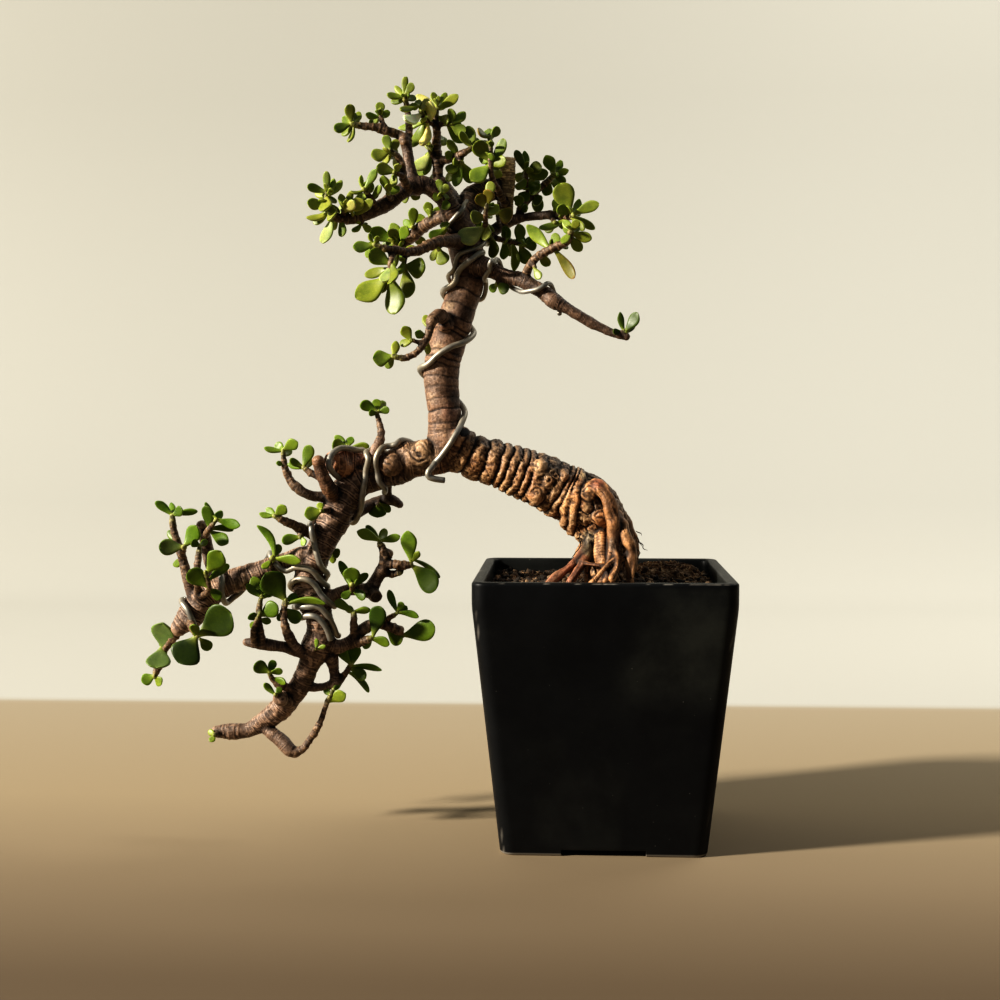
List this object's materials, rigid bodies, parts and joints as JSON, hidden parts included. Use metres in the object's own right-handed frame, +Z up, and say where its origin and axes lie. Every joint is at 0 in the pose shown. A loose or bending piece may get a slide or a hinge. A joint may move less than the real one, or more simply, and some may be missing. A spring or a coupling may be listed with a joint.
{
  "type": "potted bonsai tree",
  "caption": "Semi-cascade jade bonsai with a ringed leaning trunk, plump leaves and training wires, in a tall black square pot.",
  "frame": {"origin": "on the resting plane, under the centre of the whole object's box; the pot's own axis is 87 mm to the right of it", "axes": "+Z up; +Y away from the viewer, the pot's front faces -Y; the cascade hangs towards -X"},
  "size_m": [0.3014, 0.127, 0.3835],
  "materials": {
    "glaze": "gloss",
    "screen": "matte",
    "soil": "matte",
    "bark": "matte",
    "leaf": "satin",
    "wire": "satin"
  },
  "bodies": {
    "root": {"pot": "glaze", "drain_screen": "screen", "soil": "soil", "tree_wood": "bark", "wire_trunk": "wire", "wire_crown": "wire", "wire_limb_a": "wire", "wire_limb_b": "wire", "wire_limb_c": "wire", "wire_limb_d": "wire", "spray_upper_left": "leaf", "spray_lit_twig": "leaf", "spray_limb_top": "leaf", "spray_far_left": "leaf", "spray_limb_under": "leaf", "spray_low_left_front": "leaf", "spray_low_left_back": "leaf", "spray_neck_left": "leaf", "spray_centre_stem": "leaf", "spray_pale_pair": "leaf", "spray_leaf_olive": "leaf", "spray_sprout_centre": "leaf", "spray_front_shoot": "leaf", "spray_right_top": "leaf", "spray_right_end": "leaf", "spray_right_twig": "leaf", "spray_right_low": "leaf", "spray_leaf_under_right": "leaf", "spray_right_tip": "leaf", "spray_trunk_twig": "leaf", "spray_twig_a": "leaf", "spray_stub_leaves": "leaf", "spray_twig_b": "leaf", "spray_twig_c": "leaf", "spray_twig_d": "leaf", "spray_limb_leaf_left": "leaf", "spray_long_curved": "leaf", "spray_limb_leaf_right": "leaf", "spray_leaf_under_e": "leaf", "spray_twig_f": "leaf", "spray_twig_g_leaves": "leaf", "spray_twig_h": "leaf", "spray_big_pair": "leaf", "spray_left_end": "leaf", "spray_twig_i": "leaf", "spray_twig_k": "leaf", "spray_r_top": "leaf", "spray_r_mid": "leaf", "spray_r_low": "leaf", "spray_l_end": "leaf", "spray_m_end": "leaf", "spray_n_end": "leaf", "spray_knob_leaf": "leaf", "spray_limb_sprout": "leaf", "spray_tip_sprout": "leaf", "spray_limb_pair": "leaf", "spray_r_stem": "leaf", "spray_r_under": "leaf"}
  },
  "joints": []
}
